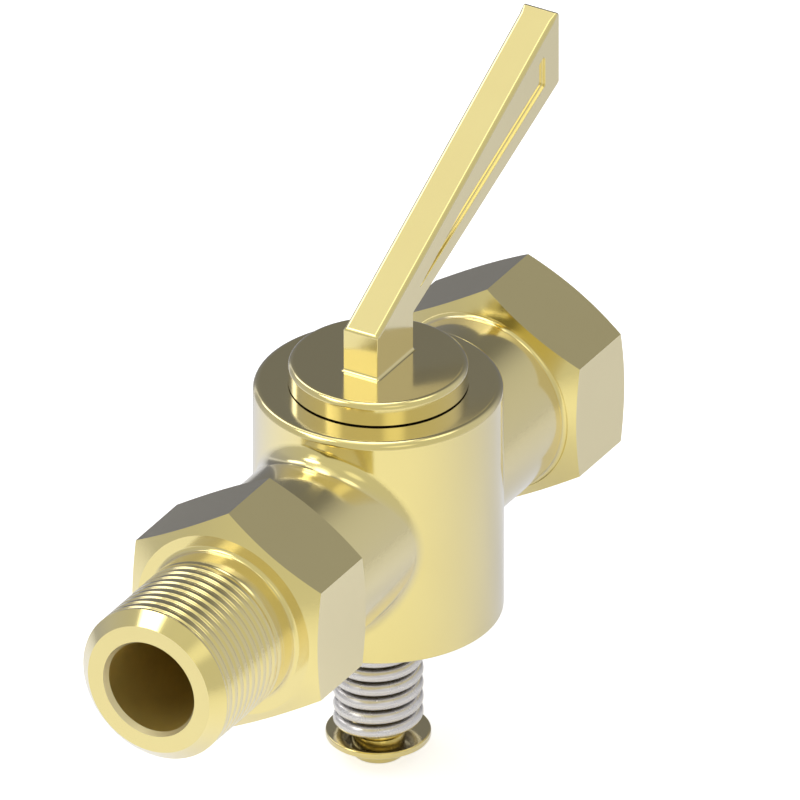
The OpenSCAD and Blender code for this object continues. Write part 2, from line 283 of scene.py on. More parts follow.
def bore_rim(radius_at):
    """Where the waterway cuts an upright wall: the place along the pipe, and the angle and height."""
    y, z = BORE_R * np.sin(AROUND_PIPE), BORE_R * np.cos(AROUND_PIPE)
    x = np.sqrt(radius_at(z) ** 2 - y ** 2)
    return x, (np.arctan2(y, x), z)


def sleeve(skin, starts, stops, radius, inwards=False):
    """A round surface along the pipe, between two places that may change around it."""
    ends = np.stack([np.broadcast_to(starts, AROUND_PIPE.shape), np.broadcast_to(stops, AROUND_PIPE.shape)])
    points = ends[..., None] * PIPE_AXIS + radius * PIPE_DIRECTIONS
    skin.patch(points, np.broadcast_to((-1 if inwards else 1) * PIPE_DIRECTIONS, points.shape))


print("walls are laid out as frames of", FRAME_STEPS, "rows")

# %% [markdown]
# ## Pipe threads
# A thread is one groove wound round a cylinder. Its grid lines follow the helix, so that no
# edge of the groove falls between them, and where the thread stops the lines are gathered on
# a plain ring. The groove gets shallower towards both ends, as a real one does where the die
# ran out. The male thread is worn and buffed: soft, shallow dips between narrow lands. The
# female one is hidden from the buffing wheel and keeps its V with a narrow flat root.

# %% Helical threads
GROOVE_ROOT, VEE, VEE_DEPTH, VEE_FADE = 0.84, 0.8, 0.95, (1.5, 0.5)
DIP_DEPTH, DIP_FADE, ROUNDING, PROBES_A_PITCH = 0.25, (0.4, 1.6), 1e-9, 1000
DIP, DIP_LINES = 0.7, [0, 0.07, 0.14, 0.21, 0.28, 0.35, 0.42, 0.49, 0.56, 0.63, 0.7, 0.85]


def thread(skin, start, stop, radius, depth, fade, groove=None, inwards=False):
    """A groove wound in a cylinder: a V that takes a share of the pitch, or else a soft dip.
    fade gives the turns over which it gets shallow at its start and at its stop."""
    pitch, soft = THREAD_PITCH, groove is None
    root = 0 if soft else groove * GROOVE_ROOT / 2
    shares = DIP_LINES if soft else [0, root, groove - root, groove, (1 + groove) / 2]
    turns = math.ceil((stop - start) / pitch) + 1
    lines = np.array([n + share for n in range(-1, turns) for share in shares] + [turns])[:, None]
    x = np.clip(start + (lines + AROUND_PIPE / (2 * np.pi)) * pitch, start, stop)
    sign = -1 if inwards else 1

    def groove_depth(place):
        phase = np.mod((place - start) / pitch - AROUND_PIPE / (2 * np.pi) + ROUNDING, 1.0)
        if soft:
            share = (1 - np.cos(2 * np.pi * np.minimum(phase / DIP, 1))) / 2
        else:
            share = np.minimum(1 - np.abs(phase - groove / 2) / (groove / 2), GROOVE_ROOT) / GROOVE_ROOT
        ends = np.minimum((place - start) / fade[0], (stop - place) / fade[1]) / pitch
        return depth * np.clip(share, 0, 1) * np.clip(ends, 0, 1)

    points = x[..., None] * PIPE_AXIS + (radius - sign * groove_depth(x))[..., None] * PIPE_DIRECTIONS
    for row in range(len(lines) - 1):
        middle, step = (x[row] + x[row + 1]) / 2, pitch / PROBES_A_PITCH
        places = x[row:row + 2] if soft else np.stack([middle, middle])
        steepness = (groove_depth(places + step) - groove_depth(places - step)) / (2 * step)
        skin.patch(points[row:row + 2], sign * PIPE_DIRECTIONS + steepness[..., None] * PIPE_AXIS)


print(f"a soft dip is drawn with {len(DIP_LINES)} lines in each pitch of {THREAD_PITCH} mm, a V with 5")

# %% [markdown]
# ## Finishes
# The valve is polished brass. In a shader that is a metal with one base colour, a low
# roughness, and very little else, so the small things matter: the colour wanders by a few
# percent, as in any casting, and a buffing wheel leaves hairlines that are only seen close up.
# Three places are not polished: the bore is as the drill left it, its flared mouth is painted
# paler as a painted reflection, and the stem inside the spring is painted dark as painted shade.
# The shader maths is written as plain Python. The small class below wraps a socket, so that
# a sum of two of them adds a Math node.

# %% A class for shader maths
class Wire:
    """A node socket that can be used in a Python expression."""

    def __init__(self, tree, socket):
        self.tree, self.socket = tree, socket

    def node(self, kind, output=0, settings=None, **inputs):
        """Adds a node: settings first, then values or wires for its inputs (i0, i1 or a name)."""
        node = self.tree.nodes.new(kind)
        for key, value in (settings or {}).items():
            setattr(node, key, value)
        for key, value in inputs.items():
            place = int(key[1:]) if key[0] == "i" and key[1:].isdigit() else key.replace("_", " ")
            if isinstance(value, Wire):
                self.tree.links.new(value.socket, node.inputs[place])
            else:
                node.inputs[place].default_value = value
        return Wire(self.tree, node.outputs[output] if node.outputs else None)

    def maths(self, operation, *values):
        inputs = {f"i{k}": value for k, value in enumerate(values)}
        return self.node("ShaderNodeMath", settings={"operation": operation}, **inputs)

    def __add__(self, other):
        return self.maths("ADD", self, other)

    def __radd__(self, other):
        return self.maths("ADD", other, self)

    def __sub__(self, other):
        return self.maths("SUBTRACT", self, other)

    def __rsub__(self, other):
        return self.maths("SUBTRACT", other, self)

    def __mul__(self, other):
        return self.maths("MULTIPLY", self, other)

    def __rmul__(self, other):
        return self.maths("MULTIPLY", other, self)

    def __truediv__(self, other):
        return self.maths("DIVIDE", self, other)

    def mix(self, first, second):
        """A colour between two, with this wire as the share of the second."""
        node = self.tree.nodes.new("ShaderNodeMix")
        node.data_type = "RGBA"
        self.tree.links.new(self.socket, node.inputs[0])
        for place, value in ((6, first), (7, second)):
            if isinstance(value, Wire):
                self.tree.links.new(value.socket, node.inputs[place])
            else:
                node.inputs[place].default_value = (*value, 1)
        return Wire(self.tree, node.outputs[2])

    def smooth(self, low, high):
        """0 below low and 1 above high, with a soft step between."""
        return self.node("ShaderNodeMapRange", settings={"interpolation_type": "SMOOTHSTEP"},
                         Value=self, From_Min=low, From_Max=high)


def new_tree(owner):
    """Empties the node tree of a material or a world, and returns a wire to build on."""
    owner.use_nodes = True
    owner.node_tree.nodes.clear()
    return Wire(owner.node_tree, None)


def scaled(tree, source, scale):
    """Coordinates stretched by a scale on each axis."""
    return tree.node("ShaderNodeMapping", Vector=source, Scale=scale)


print("shader maths is ready")


# %% Metals
PALE = (0.86, 0.85, 0.87)
CLOUD, HAZE, LINES = 55.0, 240.0, 6.0
CLOUD_EDGES, CLOUD_SHARE = (0.35, 0.7), 0.5
EVEN_GLOSS, HAZE_GLOSS, LINE_GLOSS = 0.9, 0.16, 0.12
LINE_DEPTH, SLANT_POWER = 0.0001, 1.5


def metal(name, colour, deeper, roughness, hairlines=(900, 900, 120), relief=0.012, sheen=0.9,
          metallic=1.0):
    """A polished metal: two close tones, a soft change in gloss, hairlines from the buffing wheel,
    and a pale sheen that grows where the surface is seen at a slant."""
    material = bpy.data.materials.new(name)
    tree = new_tree(material)
    place = tree.node("ShaderNodeTexCoord", output="Object")
    cloud = tree.node("ShaderNodeTexNoise", Vector=place, Scale=CLOUD, Detail=3.0)
    haze = tree.node("ShaderNodeTexNoise", Vector=place, Scale=HAZE, Detail=2.0)
    lines = tree.node("ShaderNodeTexNoise", Vector=scaled(tree, place, hairlines), Scale=LINES, Detail=2.0)
    tone = cloud.smooth(*CLOUD_EDGES) * CLOUD_SHARE
    gloss = roughness * (EVEN_GLOSS + HAZE_GLOSS * haze + LINE_GLOSS * lines)
    bump = tree.node("ShaderNodeBump", Strength=relief, Distance=LINE_DEPTH, Height=lines)
    face_on = tree.node("ShaderNodeBsdfPrincipled", Base_Color=tone.mix(colour, deeper), Metallic=metallic,
                        Roughness=gloss, Normal=bump)
    slanted = tree.node("ShaderNodeBsdfPrincipled", Base_Color=(*PALE, 1), Metallic=1.0,
                        Roughness=gloss, Normal=bump)
    slant = tree.node("ShaderNodeLayerWeight", output="Facing", Blend=0.5)
    share = slant.maths("POWER", slant, SLANT_POWER) * sheen
    surface = tree.node("ShaderNodeMixShader", i0=share, i1=face_on, i2=slanted)
    tree.node("ShaderNodeOutputMaterial", Surface=surface)
    material.diffuse_color = (*colour, 1)
    return material


body_brass = metal("body_brass", (0.88, 0.75, 0.29), (0.86, 0.72, 0.27), 0.13)
bored_brass = metal("bored_brass", (0.84, 0.66, 0.19), (0.70, 0.54, 0.14), 0.30,
                    relief=0.03, sheen=0.0, metallic=0.75)
# painted reflection: a paler brass for the flared mouth stands in for a bright reflection there
pale_reflection_brass = metal("pale_reflection_brass", (0.93, 0.84, 0.50), (0.90, 0.80, 0.46), 0.35,
                     sheen=0.3, metallic=0.6)
# painted shade: a dark brass for the stem inside the spring, standing in for the shade between the coils
painted_shade_brass = metal("painted_shade_brass", (0.16, 0.12, 0.05), (0.10, 0.08, 0.04), 0.45,
                      relief=0.03, sheen=0.0, metallic=0.3)
key_brass = metal("key_brass", (0.88, 0.75, 0.29), (0.86, 0.72, 0.27), 0.12)
washer_brass = metal("washer_brass", (0.86, 0.72, 0.28), (0.83, 0.68, 0.25), 0.10)
screw_brass = metal("screw_brass", (0.86, 0.74, 0.31), (0.82, 0.69, 0.28), 0.16)
spring_steel = metal("spring_steel", (0.80, 0.78, 0.77), (0.74, 0.72, 0.71), 0.26,
                     hairlines=(60, 60, 60), relief=0.006, metallic=0.7)
print("metals:", ", ".join(m.name for m in bpy.data.materials if m.name.endswith(("brass", "steel"))))

# %% [markdown]
# ## The body
# The body is one forging, turned and bored: a barrel, two round necks, and a hexagon on each
# end for the wrench. It is laid as patches from the male end to the female end, then up and
# down the barrel, and last the seat inside.

# %% Male end, bore and socket
body = Skin("body_forging")
seat_x, seat_rim = bore_rim(seat_radius)
mouth = MALE_END + MOUTH_DEPTH
thread_start = MALE_END + END_CHAMFER
spigot_root = -HEX_OUTER - SPIGOT_FILLET
body.finish = BORED
sleeve(body, -seat_x, mouth, BORE_R, inwards=True)
body.finish = POLISHED
turn(body, path((MALE_END, BORE_R + MOUTH_FLARE), (MALE_END, END_RING_R), (thread_start, CREST_R)))
# painted reflection: the flared mouth takes the paler brass
body.finish = PALE_REFLECTION
turn(body, path((mouth, BORE_R), (MALE_END, BORE_R + MOUTH_FLARE)))
body.finish = POLISHED
thread(body, thread_start, THREAD_STOP, CREST_R, DIP_DEPTH, DIP_FADE)
turn(body, path((THREAD_STOP, CREST_R), (spigot_root, CREST_R))
     + [bow((spigot_root, CREST_R + SPIGOT_FILLET), SPIGOT_FILLET, -90, 0)]
     + path((-HEX_OUTER, CREST_R + SPIGOT_FILLET), (-HEX_OUTER, HEX_FACE_R)))

drill_point = SOCKET_BOTTOM - (SOCKET_R - BORE_R) / math.tan(DRILL_HALF_ANGLE)
lead = HEX_OUTER - (SOCKET_LEAD_R - SOCKET_R)
body.finish = BORED
sleeve(body, seat_x, drill_point, BORE_R, inwards=True)
turn(body, path((SOCKET_BOTTOM, SOCKET_R), (drill_point, BORE_R)))
body.finish = POLISHED
turn(body, path((HEX_OUTER, HEX_FACE_R), (HEX_OUTER, SOCKET_LEAD_R), (lead, SOCKET_R)))
thread(body, SOCKET_BOTTOM, lead, SOCKET_R, VEE_DEPTH, VEE_FADE, groove=VEE, inwards=True)
print(f"male thread runs from {thread_start} to {THREAD_STOP}")


# %% Hexagons
def hexagon(skin, side):
    """One hexagon, its corners turned off on both faces. side is +1 for the female end."""
    reach = HEX_FLAT / np.cos(np.mod(AROUND_PIPE, np.pi / 3) - np.pi / 6)
    drop = (reach - HEX_FACE_R) * math.tan(HEX_CHAMFER)
    for face, way in ((HEX_OUTER, 1), (HEX_INNER, -1)):
        rows = []
        for x, radius in ((face, HEX_FACE_R), (face - way * drop, reach)):
            x, radius = (np.broadcast_to(v, AROUND_PIPE.shape)[:, None] for v in (x, radius))
            rows.append(side * x * PIPE_AXIS + radius * PIPE_DIRECTIONS)
        normal = side * way * math.cos(HEX_CHAMFER) * PIPE_AXIS + math.sin(HEX_CHAMFER) * PIPE_DIRECTIONS
        skin.patch(np.stack(rows), normal)
    for flat in range(6):
        part = slice(flat * SIDES // 6, (flat + 1) * SIDES // 6 + 1)
        middle = np.pi / 6 + flat * np.pi / 3
        edges = [side * x[part, None] * PIPE_AXIS + reach[part, None] * PIPE_DIRECTIONS[part]
                 for x in (HEX_OUTER - drop, HEX_INNER + drop)]
        skin.patch(np.stack(edges), [0, math.sin(middle), math.cos(middle)])


for side in (-1, 1):
    hexagon(body, side)
print("hexagons are", 2 * HEX_FLAT, "mm across the flats")

# %% [markdown]
# ## Necks that flow into the barrel
# Where a round neck meets a round barrel, the real forging has a fillet. It is the surface
# that a ball leaves when it rolls round the corner and touches both. The ball's centre stays
# one ball radius away from the neck and from the barrel, and that fixes its path. At each
# step the fillet is the arc between the two points where the ball touches.

# %% Rolled blends and necks
BLEND_STEPS = 14


def blended_neck(skin, side):
    """A neck and its rolled blend. Returns the blend's rim on the barrel, as angle and height."""
    out, reach = NECK_R + BLEND_R, BARREL_R + BLEND_R
    y, z = out * np.sin(AROUND_PIPE), out * np.cos(AROUND_PIPE)
    x = np.sqrt(reach ** 2 - y ** 2)
    centre = np.stack([side * x, y, z], axis=1)
    to_neck = -PIPE_DIRECTIONS
    to_barrel = -np.stack([side * x, y, 0 * z], axis=1) / reach
    angle = np.arccos((to_neck * to_barrel).sum(axis=1))[:, None]
    rows = []
    for t in np.linspace(0, 1, BLEND_STEPS + 1):
        rows.append((np.sin((1 - t) * angle) * to_neck + np.sin(t * angle) * to_barrel) / np.sin(angle))
    rows = np.stack(rows)
    skin.patch(centre + BLEND_R * rows, -rows)
    sleeve(skin, side * (HEX_INNER - NECK_FILLET), side * x, NECK_R)
    return np.arctan2(y, x), z


for side in (-1, 1):
    blend_rim = blended_neck(body, side)
root, ring = HEX_INNER - NECK_FILLET, NECK_R + NECK_FILLET
turn(body, [bow((-root, ring), NECK_FILLET, 180, 270), bow((root, ring), NECK_FILLET, -90, 0)])
angle = math.degrees(blend_rim[0].max())
print(f"blends reach {angle:.1f} degrees round the barrel")

# %% Barrel, seat and floor
rim_z, foot_z = BARREL_TOP - RIM_R, BARREL_FOOT + FOOT_EDGE
pierced_wall(body, lambda z: BARREL_R + 0 * z, foot_z, rim_z, blend_rim)
turn(body, [bow((rim_z, BARREL_R - RIM_R), RIM_R, 90, 0)]
     + path((BARREL_TOP, BARREL_R - RIM_R), (BARREL_TOP, seat_radius(BARREL_TOP))), about_key=True)
pierced_wall(body, seat_radius, SEAT_FLOOR, BARREL_TOP, seat_rim, inwards=True)
turn(body, path((SEAT_FLOOR, seat_radius(SEAT_FLOOR)), (SEAT_FLOOR, STEM_HOLE_R), (BARREL_FOOT, STEM_HOLE_R),
                (BARREL_FOOT, BARREL_R - FOOT_EDGE))
     + [bow((foot_z, BARREL_R - FOOT_EDGE), FOOT_EDGE, 180, 90, steps=5)], about_key=True)
body = body.sew(body_brass, bored_brass, pale_reflection_brass)

# %% [markdown]
# ## The key, its cap and its stem
# The key is one casting with the lever: a stem, a tapered plug with the waterway through it,
# a cap, and the lever on top. The plug is the seat's cone made smaller by a running gap.
# The stem is painted dark as painted shade between the coils, so only its lowest end stays polished.

# %% Key below the lever
CAP_SHOULDER = CAP_R - CAP_RIM
# length at the stem's foot that stays polished, below the painted shade
UNSHADED_STEM = 2.2


def key_radius(z):
    """Radius of the plug at height z."""
    return seat_radius(z) - KEY_GAP


key = Skin("plug_key_casting")
key_x, key_rim = bore_rim(key_radius)
turn(key, path((TAP_TOP, 0), (TAP_TOP, TAP_R), (STEM_END, TAP_R), (STEM_END, STEM_R - STEM_EDGE),
               (STEM_END + STEM_EDGE, STEM_R), (STEM_END + UNSHADED_STEM, STEM_R)), about_key=True)
# painted shade: the stem inside the spring takes the dark brass
key.finish = PAINTED_SHADE
turn(key, path((STEM_END + UNSHADED_STEM, STEM_R), (KEY_FOOT, STEM_R), (KEY_FOOT, key_radius(KEY_FOOT))),
     about_key=True)
key.finish = POLISHED
pierced_wall(key, key_radius, KEY_FOOT, CAP_BOTTOM, key_rim)
key.finish = BORED
sleeve(key, -key_x, key_x, BORE_R, inwards=True)
key.finish = POLISHED
turn(key, path((CAP_BOTTOM, key_radius(CAP_BOTTOM)), (CAP_BOTTOM, CAP_R), (CAP_TOP - CAP_RIM, CAP_R))
     + [bow((CAP_TOP - CAP_RIM, CAP_SHOULDER), CAP_RIM, 90, 0)], about_key=True)
print(f"the plug is {2 * key_radius(0):.2f} mm wide at the waterway")

# %% [markdown]
# ## The lever
# Seen from the side the lever is a slanted arm on an upright root, with a sunk panel in each
# face. A cast and buffed lever has no sharp edges, so its outline is carried across the
# thickness with a small round on each side, broadest along the top where the hand rubs. A
# hollow foot joins the root to the cap.

# %% Rounded outlines
CORNER_STEPS = 6


def rounded_corner(before, corner, after, radius, steps=CORNER_STEPS):
    """Points of a rounded corner, with their outward normals, for an outline walked clockwise."""
    u = np.subtract(before, corner) / np.linalg.norm(np.subtract(before, corner))
    v = np.subtract(after, corner) / np.linalg.norm(np.subtract(after, corner))
    half = math.acos(np.clip(u @ v, -1, 1)) / 2
    middle = (u + v) / np.linalg.norm(u + v)
    centre = np.asarray(corner) + middle * radius / math.sin(half)
    convex = u[0] * v[1] - u[1] * v[0] > 0
    start, stop = (np.asarray(corner) + w * radius / math.tan(half) - centre for w in (u, v))
    turn_by = math.acos(np.clip(start @ stop / radius ** 2, -1, 1))
    t = np.linspace(0, 1, steps + 1)[:, None]
    arms = (np.sin((1 - t) * turn_by) * start + np.sin(t * turn_by) * stop) / math.sin(turn_by)
    return centre + arms, (arms if convex else -arms) / radius


HEEL, BACK, TIP_UP = (-5.74, 0), (-5.74, 7.9), (52.5, 39.4)
TIP_LOW, ARM, TOE = (52.5, 26.2), (5.76, 6.8), (5.76, 0)
BACK_R, CORNER_R, LAST_STRETCH, TIP_EDGE = 0.8, 0.5, 1.5, 0.42
outline, facing = [np.array([[HEEL[0], LEVER_COVE]])], [np.array([[-1.0, 0]])]
for corner in ((HEEL, BACK, TIP_UP), (BACK, TIP_UP, TIP_LOW), (TIP_UP, TIP_LOW, ARM), (TIP_LOW, ARM, TOE)):
    points, normals = rounded_corner(*corner, radius=BACK_R if corner[1] is BACK else CORNER_R)
    if corner[1] is TIP_UP:
        along = np.subtract(TIP_UP, BACK) / np.linalg.norm(np.subtract(TIP_UP, BACK))
        points = np.vstack([points[0] - LAST_STRETCH * along, points])
        normals = np.vstack([normals[0], normals])
    outline.append(points)
    facing.append(normals)
outline = np.concatenate(outline + [np.array([[TOE[0], LEVER_COVE]])])
facing = np.concatenate(facing + [np.array([[1.0, 0]])])
edge = np.full((len(outline), 1), LEVER_EDGE)
corner_points = CORNER_STEPS + 1
edge[1:1 + corner_points, 0] = np.linspace(LEVER_EDGE, TOP_EDGE, corner_points)
edge[1 + corner_points, 0] = TOP_EDGE
edge[2 + corner_points:2 + 2 * corner_points, 0] = np.linspace(TIP_EDGE, LEVER_EDGE, corner_points)
print(f"the lever's tip is {outline[:, 0].max():.1f} mm out and {outline[:, 1].max():.1f} mm above the cap")

# %% Lever sides
EDGE_STEPS = 6
UP = np.array([0, 0, 1.0])


def raised(points, y):
    """Side-view points as places in the room, above the cap and y across the pipe."""
    x, z = np.moveaxis(np.asarray(points, float), -1, 0)
    return np.stack([x, np.broadcast_to(y, x.shape), z + CAP_TOP], axis=-1)


def across(normals, side_share, outline_share):
    """Outline normals leaned over by a share towards the side of the lever."""
    return raised(np.asarray(normals) * outline_share, side_share) - CAP_TOP * UP


t = np.linspace(0, np.pi / 2, EDGE_STEPS + 1)
columns = [(-1, a) for a in t[::-1]] + [(1, a) for a in t]
grid = []
for side, a in columns:
    y = side * (LEVER_T / 2 - edge[:, 0] * (1 - math.sin(a)))
    grid.append(raised(outline - facing * edge * (1 - math.cos(a)), y))
grid = np.stack(grid, axis=1)
slants = np.stack([across(facing, side * math.sin(a), math.cos(a)) for side, a in columns], axis=1)
key.patch(grid, slants)
print(f"the lever's rim has {grid.shape[0]} by {grid.shape[1]} points")

# %% Sunk panels and the hollow foot
PANEL_CORNERS = [(5.76, 9.3), (48.2, 33.67), (48.2, 27.62)]
PANEL_RADII = (0.15, 0.7, 0.6)
PANEL_LIP, PANEL_FILLET = 0.15, 0.2


def panel_ring(inset):
    """The panel's outline moved inwards, as points and directions that point into the panel."""
    points, inwards = [], []
    for k, corner in enumerate(PANEL_CORNERS):
        before, after = PANEL_CORNERS[k - 1], PANEL_CORNERS[(k + 1) % 3]
        u, v = (np.subtract(p, corner) / np.linalg.norm(np.subtract(p, corner)) for p in (before, after))
        half, middle = math.acos(u @ v) / 2, (u + v) / np.linalg.norm(u + v)
        rest = max(PANEL_RADII[k] - inset, 0)
        arms, _ = rounded_corner(before, corner, after, radius=1.0)
        arms = arms - (np.asarray(corner) + middle / math.sin(half))
        points.append(np.asarray(corner) + middle * (inset + rest) / math.sin(half) + rest * arms)
        inwards.append(-arms)
    points, inwards = np.concatenate(points), np.concatenate(inwards)
    return np.concatenate([points, points[:1]]), np.concatenate([inwards, inwards[:1]])


quarter_turn = np.linspace(0, np.pi / 2, 5)
for side in (-1, 1):
    face, floor = side * LEVER_T / 2, side * (LEVER_T / 2 - PANEL_DEPTH)
    rows, normals = [], []
    for a in quarter_turn:
        points, inwards = panel_ring(PANEL_LIP * math.sin(a))
        rows.append(raised(points, face - side * PANEL_LIP * (1 - math.cos(a))))
        normals.append(across(inwards, side * math.cos(a), math.sin(a)))
    for a in quarter_turn:
        points, inwards = panel_ring(PANEL_LIP + PANEL_FILLET * (1 - math.cos(a)))
        rows.append(raised(points, floor + side * PANEL_FILLET * (1 - math.sin(a))))
        normals.append(across(inwards, side * math.sin(a), math.cos(a)))
    key.patch(np.stack(rows), np.stack(normals))
    key.flat([rows[-1][:-1]], [0, side, 0])
    key.flat([raised(outline - facing * edge, face), rows[0][:-1]], [0, side, 0])

foot_ring = np.concatenate([grid[0], grid[-1][::-1], grid[0][:1]])
foot_way = np.concatenate([slants[0], slants[-1][::-1], slants[0][:1]])
cove = [foot_ring + foot_way * LEVER_COVE * (1 - math.cos(a)) - UP * LEVER_COVE * math.sin(a) for a in t]
key.patch(np.stack(cove), np.stack([foot_way * math.cos(a) + UP * math.sin(a) for a in t]))
key.flat([CAP_TOP * UP + CAP_SHOULDER * KEY_DIRECTIONS[:-1], cove[-1][:-1]], UP)
key = key.sew(key_brass, bored_brass, painted_shade_brass)

# %% [markdown]
# ## The spring
# The spring is one length of steel wire wound round the stem, with plain cut ends. A coil
# follows a rule, so Geometry Nodes draw it: a spiral curve is given a round section. The tree
# has an input for each size, so the same tree could wind any spring. The start angle puts the
# cut end behind the stem.

# %% Spring by Geometry Nodes
STEPS_A_TURN, WIRE_SIDES = 72, 24


def spring_tree(material):
    """A node tree that winds a wire into a spring of the sizes it is given."""
    tree = bpy.data.node_groups.new("spring_winder", "GeometryNodeTree")
    sizes = ("Turns", "Coil radius", "Wire radius", "Rise", "Bottom", "Start angle")
    for name in sizes:
        tree.interface.new_socket(name, in_out="INPUT", socket_type="NodeSocketFloat")
    tree.interface.new_socket("Geometry", in_out="OUTPUT", socket_type="NodeSocketGeometry")
    given = tree.nodes.new("NodeGroupInput")
    size = {name: Wire(tree, given.outputs[name]) for name in sizes}
    start = Wire(tree, None)
    coil = start.node("GeometryNodeCurveSpiral", Resolution=STEPS_A_TURN, Rotations=size["Turns"],
                      Start_Radius=size["Coil radius"], End_Radius=size["Coil radius"],
                      Height=size["Rise"], Reverse=True)
    lift = start.node("ShaderNodeCombineXYZ", X=0.0, Y=0.0, Z=size["Bottom"])
    spin = start.node("ShaderNodeCombineXYZ", X=0.0, Y=0.0, Z=size["Start angle"])
    placed = start.node("GeometryNodeTransform", Geometry=coil, Translation=lift, Rotation=spin)
    section = start.node("GeometryNodeCurvePrimitiveCircle", Resolution=WIRE_SIDES,
                         Radius=size["Wire radius"])
    wire = tree.nodes.new("GeometryNodeCurveToMesh")
    tree.links.new(placed.socket, wire.inputs["Curve"])
    tree.links.new(section.socket, wire.inputs["Profile Curve"])
    wire.inputs["Fill Caps"].default_value = True
    real = start.node("GeometryNodeRealizeInstances", Geometry=Wire(tree, wire.outputs[0]))
    dressed = start.node("GeometryNodeSetMaterial", Geometry=real, Material=material)
    end = tree.nodes.new("NodeGroupOutput")
    tree.links.new(dressed.socket, end.inputs[0])
    return tree


def from_tree(name, tree, values):
    """Runs a tree on an empty mesh and returns its result as a plain mesh object."""
    holder = bpy.data.objects.new(name, bpy.data.meshes.new(name))
    bpy.context.scene.collection.objects.link(holder)
    modifier = holder.modifiers.new("winder", "NODES")
    modifier.node_group = tree
    for item in tree.interface.items_tree:
        if item.in_out == "INPUT" and item.name in values:
            modifier[item.identifier] = values[item.name]
    bpy.context.view_layer.update()
    made = bpy.data.meshes.new_from_object(holder.evaluated_get(bpy.context.evaluated_depsgraph_get()))
    holder.modifiers.clear()
    holder.data = made
    return holder


spring = from_tree("coil_spring", spring_tree(spring_steel), {
    "Turns": SPRING_TURNS, "Coil radius": COIL_R * MM, "Wire radius": WIRE_R * MM,
    "Rise": (WIRE_TOP - WIRE_BOTTOM) * MM, "Bottom": WIRE_BOTTOM * MM, "Start angle": SPRING_START})
spring.data.polygons.foreach_set("use_smooth", [len(face.vertices) == 4 for face in spring.data.polygons])
heights = [v.co.z / MM for v in spring.data.vertices]
print(f"spring: {len(spring.data.polygons)} faces, from {min(heights):.2f} to {max(heights):.2f} mm")

# %% [markdown]
# ## The washer and the screw
# The washer is a turned disc with rounded edges. The spring stands on it, and a slotted
# pan-head screw holds it against the stem. The screw's slot is the one shape here that is cut
# with a Boolean modifier, because a slot across a crowned head has no simple patches.

# %% Washer
washer = Skin("turned_washer")
turn(washer, path((HEAD_SEAT, WASHER_HOLE_R), (HEAD_SEAT, WASHER_R - WASHER_EDGE))
     + [bow((HEAD_SEAT + WASHER_EDGE, WASHER_R - WASHER_EDGE), WASHER_EDGE, 180, 90)]
     + path((HEAD_SEAT + WASHER_EDGE, WASHER_R), (STEM_END - WASHER_EDGE, WASHER_R))
     + [bow((STEM_END - WASHER_EDGE, WASHER_R - WASHER_EDGE), WASHER_EDGE, 90, 0)]
     + path((STEM_END, WASHER_R - WASHER_EDGE), (STEM_END, WASHER_HOLE_R), (HEAD_SEAT, WASHER_HOLE_R)),
     about_key=True)
washer = washer.sew(washer_brass)

# %% Screw
CROWN_SHARE, POINT_SHARE, CUT_MARGIN = 0.15, 0.24, 1
SHARP = math.radians(35)
head_end, crown = HEAD_SEAT - HEAD_H, HEAD_H * CROWN_SHARE
shank_end, point = HEAD_SEAT + SCREW_LEN, SCREW_R * POINT_SHARE
screw = Skin("pan_head_screw")
turn(screw, path((head_end, 0), (head_end, HEAD_R - crown))
     + [bow((head_end + crown, HEAD_R - crown), crown, 180, 90)]
     + path((head_end + crown, HEAD_R), (HEAD_SEAT, HEAD_R), (HEAD_SEAT, SCREW_R),
            (shank_end - point, SCREW_R), (shank_end, SCREW_R - point), (shank_end, 0)), about_key=True)
screw = screw.sew(screw_brass)
cutter = Skin("slot_cutter")
x, y, low, high = HEAD_R + CUT_MARGIN, SLOT_W / 2, head_end - CUT_MARGIN, head_end + SLOT_DEPTH
for axis in range(3):
    for sign in (-1, 1):
        a, b = [k for k in range(3) if k != axis]
        size = np.array([[-x, x], [-y, y], [low, high]])
        square = np.zeros((2, 2, 3))
        square[..., axis] = size[axis][(sign + 1) // 2]
        square[..., a], square[..., b] = size[a][:, None], size[b][None, :]
        cutter.patch(square, sign * np.eye(3)[axis])
cutter = cutter.sew(screw_brass)
cutter.rotation_euler.z = SLOT_TURN
cut = screw.modifiers.new("slot", "BOOLEAN")
cut.object, cut.solver = cutter, "EXACT"
bpy.context.view_layer.update()
slotted = bpy.data.meshes.new_from_object(screw.evaluated_get(bpy.context.evaluated_depsgraph_get()))
screw.modifiers.clear()
screw.data = slotted
screw.data.set_sharp_from_angle(angle=SHARP)
bpy.data.objects.remove(cutter)
print("screw:", len(slotted.polygons), "faces")

# %% [markdown]
# ## Which piece stands for which solid
# Each new piece rides on the body that its solid belongs to, so that it moves with it, and
# replaces that solid in the picture.

# %% Riding and replacing
for piece, node, rides_on, finish in (
        (body, "valve_body", "body", "body_brass"), (key, "plug_key", "key", "key_brass"),
        (spring, "spring", "spring", "spring_steel"), (washer, "spring_washer", "key", "washer_brass"),
        (screw, "retaining_screw", "key", "screw_brass")):
    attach(piece, rides_on)
    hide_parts(node)
    print(f"{piece.name} stands for {node} and rides on {rides_on}")
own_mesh(spring)

# %% [markdown]
# ## Floor and light
# Polished metal shows nothing but what stands round it, so the light is set up as a studio
# would: a white floor, grey walls on the near side, a dark wall behind, and a broad box of
# light overhead. The dark wall gives the upper faces their deep tone, and the grey walls give
# the sides their even gold. The camera itself sees plain white behind the valve. The metal
# sees a duller floor, brighter under the valve and towards the male end, as if the light fell
# from there, and further out it sees the walls through it.

